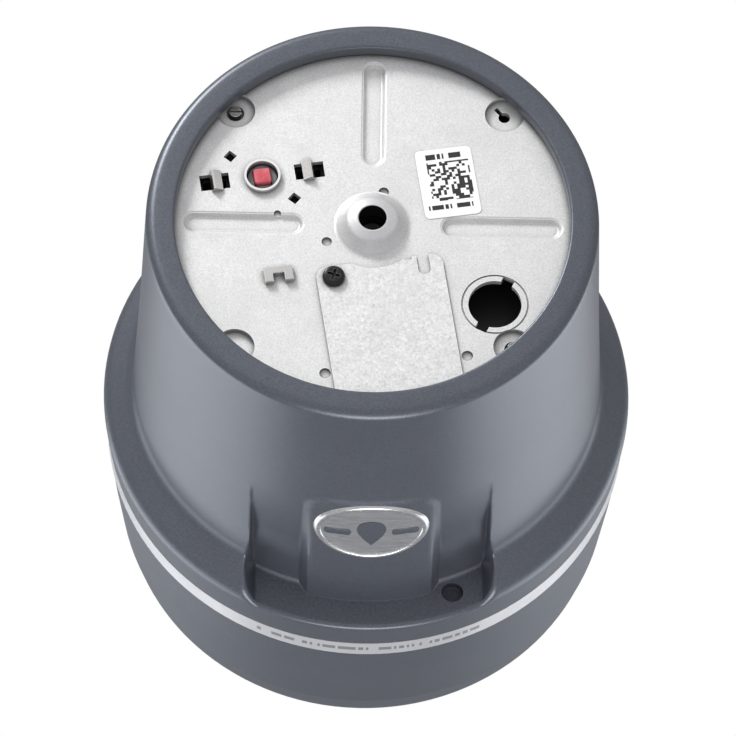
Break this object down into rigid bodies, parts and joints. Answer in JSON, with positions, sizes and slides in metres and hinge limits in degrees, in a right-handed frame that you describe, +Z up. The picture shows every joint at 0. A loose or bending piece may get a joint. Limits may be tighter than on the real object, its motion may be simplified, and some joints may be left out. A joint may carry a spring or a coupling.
{
  "type": "garbage disposal",
  "caption": "Under-sink kitchen food waste disposer with a turning shredder plate, swivelling lugs, sink mount with a locking ring, outlet port and a reset button.",
  "frame": {"origin": "centre of the bottom rim, on the plane that it stands on", "axes": "+Z up to the sink, -Y to the badge side, +Y to the outlet port, +X to the reset button side"},
  "size_m": [0.2284, 0.2284, 0.3074],
  "materials": {
    "metallic_paint": "moulded shells in satin metallic blue-grey paint with fine fleck",
    "band": "satin pale silver",
    "badge_metal": "brushed face, polished rim",
    "zinc_sheet": "fine-grained zinc plate",
    "zinc_cover": "zinc plate, slightly coarser grain",
    "clip_steel": "bright spring steel",
    "black_screw": "black oxide",
    "label": "white satin label",
    "bolt_steel": "zinc plated",
    "button_red": "satin red moulding",
    "guide_plastic": "pale moulding",
    "spring_steel": "bright wire",
    "black_plastic": "matte moulding",
    "black_steel": "black painted sheet",
    "ground_green": "green dyed zinc",
    "wire": "insulated lead",
    "can_steel": "plain sheet steel",
    "lamination": "stacked laminations",
    "copper": "varnished copper winding",
    "cast_aluminium": "as cast",
    "shaft_steel": "ground steel",
    "bronze": "sintered bronze",
    "seal_rubber": "matte black rubber",
    "stainless": "brushed stainless",
    "foam": "dark moulded foam",
    "sink_stainless": "polished stainless",
    "mount_steel": "zinc plated steel",
    "fiber": "compressed fibre"
  },
  "bodies": {
    "housing": {"backup_flange": "mount_steel", "badge": "badge_metal", "body_gasket": "seal_rubber", "body_screws": "bolt_steel", "button_guide": "guide_plastic", "button_spring": "spring_steel", "chamber_insulation": "foam", "drain_chamber": "cast_aluminium", "fiber_gasket": "fiber", "grind_container": "stainless", "grind_ring": "stainless", "ground_screw": "ground_green", "inlet_plug": "seal_rubber", "lead_wires": "wire", "lower_bearing": "bronze", "lower_end_frame": "zinc_sheet", "lower_trim_shell": "metallic_paint", "motor_insulation": "foam", "motor_shell": "can_steel", "mounting_gasket": "seal_rubber", "mounting_screws": "bolt_steel", "overload_protector": "black_plastic", "protector_bracket": "clip_steel", "rating_label": "label", "shaft_seal": "seal_rubber", "sink_flange": "sink_stainless", "snap_ring": "spring_steel", "start_relay": "black_plastic", "stator_core": "lamination", "stator_windings": "copper", "terminal_cover": "zinc_cover", "terminal_cover_screw": "black_screw", "through_bolts": "bolt_steel", "trim_band": "band", "upper_bearing": "bronze", "upper_end_bell": "cast_aluminium", "upper_mounting_ring": "mount_steel", "upper_trim_shell": "metallic_paint", "wire_clip": "clip_steel", "wiring_box": "black_steel"},
    "rotor": {"motor_shaft": "shaft_steel", "rotor_core": "lamination", "rotor_cage": "cast_aluminium", "slinger": "shaft_steel", "shredder_plate": "stainless", "shaft_nut": "stainless", "lug_pins": "stainless"},
    "swivelluga": {"grind_lug_a": "stainless"},
    "swivellugb": {"grind_lug_b": "stainless"},
    "button": {"reset_button": "button_red"},
    "lockring": {"lower_mounting_ring": "mount_steel"},
    "baffle": {"splash_baffle": "seal_rubber"}
  },
  "joints": [
    {"name": "rotor_spin", "type": "hinge", "parent": "housing", "child": "rotor", "pos_m": [0, 0, 0.1], "axis": [0, 0, 1], "continuous": true},
    {"name": "lug_a_swivel", "type": "hinge", "parent": "rotor", "child": "swivelluga", "pos_m": [0.04886, 0.01778, 0.18], "axis": [0, 0, 1], "continuous": true},
    {"name": "lug_b_swivel", "type": "hinge", "parent": "rotor", "child": "swivellugb", "pos_m": [-0.04886, -0.01778, 0.18], "axis": [0, 0, 1], "continuous": true},
    {"name": "reset_press", "type": "slide", "parent": "housing", "child": "button", "axis": [0, 0, 1], "range_m": [0, 0.0015], "stiffness_N_per_m": 400, "springref_m": -0.001, "deforming": ["button_spring"]},
    {"name": "mount_lock", "type": "hinge", "parent": "housing", "child": "lockring", "pos_m": [0, 0, 0.27], "axis": [0, 0, 1], "range_deg": [0, 40]},
    {"name": "baffle_lift", "type": "slide", "parent": "housing", "child": "baffle", "axis": [0, 0, 1], "range_m": [0, 0.04]}
  ]
}
